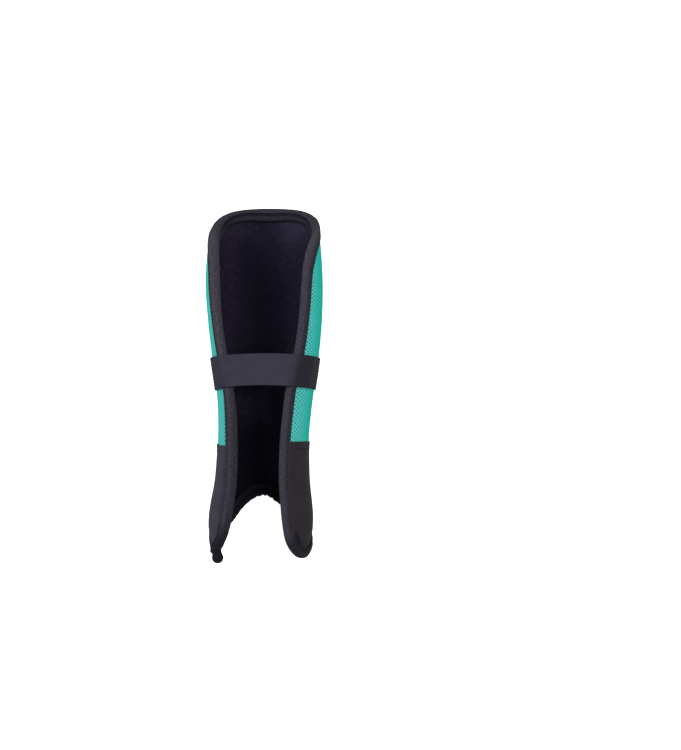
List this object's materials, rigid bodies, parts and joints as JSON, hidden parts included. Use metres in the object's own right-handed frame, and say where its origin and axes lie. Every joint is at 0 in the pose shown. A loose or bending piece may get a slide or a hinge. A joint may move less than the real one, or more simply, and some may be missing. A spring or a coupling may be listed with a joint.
{
  "type": "field hockey shin guard",
  "caption": "Curved shin guard with an air-mesh outside, padded lining, bound edge, flared ankle flaps round an instep arch, and an elastic band across its open back.",
  "frame": {"origin": "under the middle of the guard, on the surface that it lies on", "axes": "+Y along the shin towards the knee, +Z from the shin towards the calf, +X to the right as seen from above"},
  "size_m": [0.1057, 0.3192, 0.0836],
  "materials": {
    "air_mesh": "open warp-knit mesh over a thin stiff shell, turquoise",
    "ankle_fabric": "matt black laminated knit",
    "lining": "brushed dark padding fabric",
    "binding": "matt black folded binding with dark stitching",
    "elastic": "ribbed black elastic webbing"
  },
  "bodies": {
    "root": {"mesh_cover": "air_mesh", "ankle_cover": "ankle_fabric", "liner": "lining", "edge_binding": "binding", "calf_strap": "elastic"}
  },
  "joints": []
}
